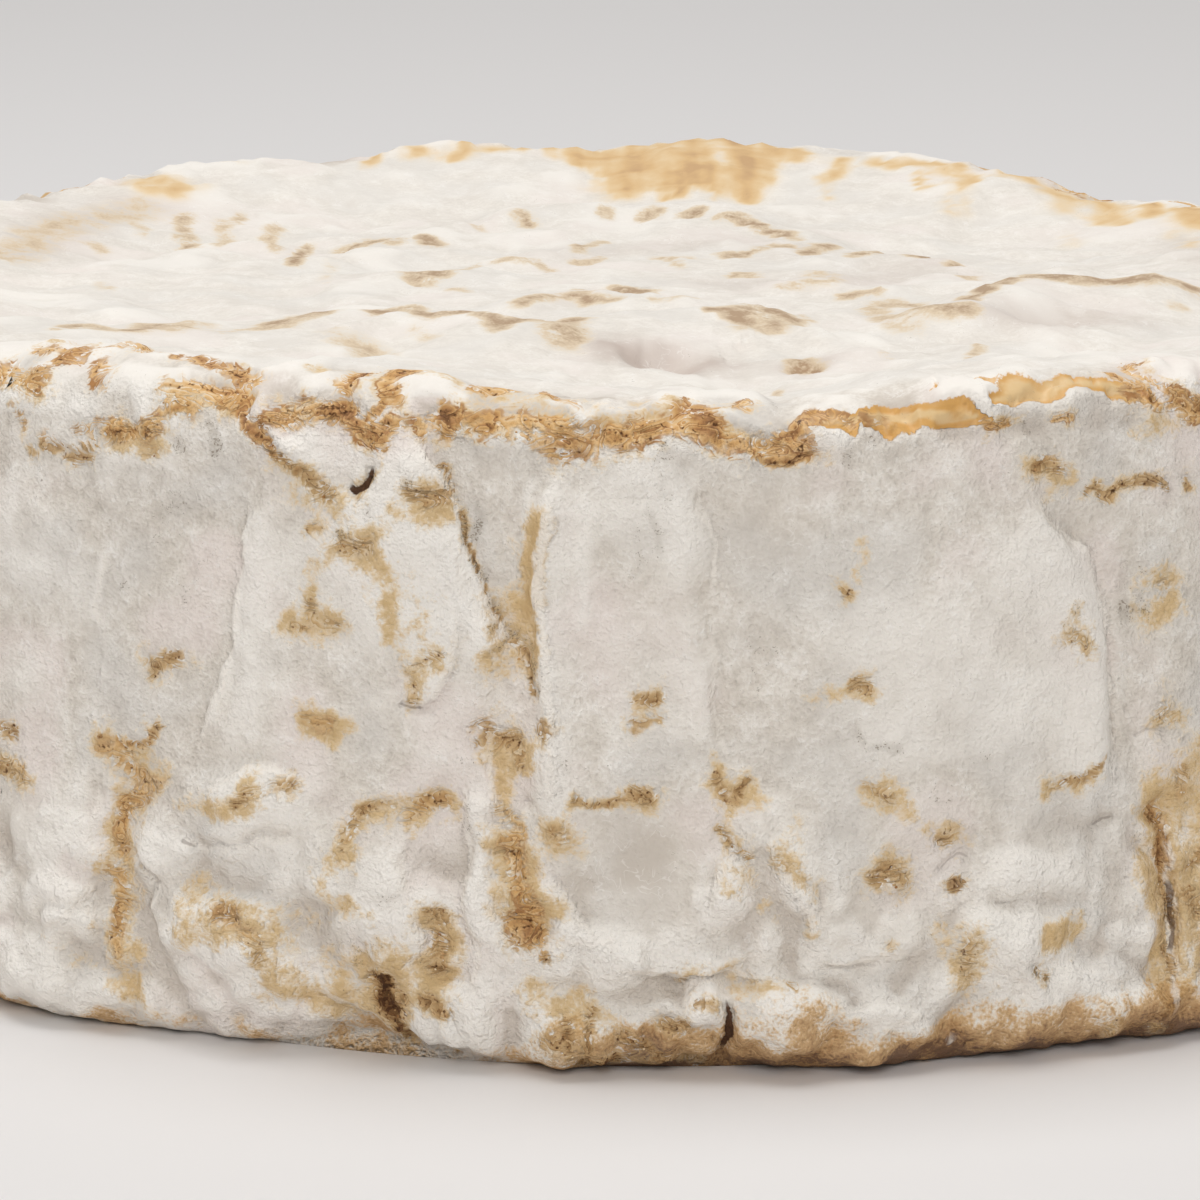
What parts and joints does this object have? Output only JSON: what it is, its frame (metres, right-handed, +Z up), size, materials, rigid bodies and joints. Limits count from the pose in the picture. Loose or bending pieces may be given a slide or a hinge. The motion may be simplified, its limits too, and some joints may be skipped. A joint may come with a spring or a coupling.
{
  "type": "camembert cheese wheel",
  "caption": "Whole ripened soft cheese wheel with a white mould rind, browned worn rim and folded, puffy side, lying on its flat base",
  "frame": {"origin": "middle of the flat base that the wheel rests on", "axes": "+Z up through the wheel's axis, -Y towards the front of the wheel"},
  "size_m": [0.1083, 0.1082, 0.034],
  "materials": {
    "mould_rind": "matt, velvety white mould rind with ochre and brown worn patches"
  },
  "bodies": {
    "root": {"camembert_wheel": "mould_rind"}
  },
  "joints": []
}
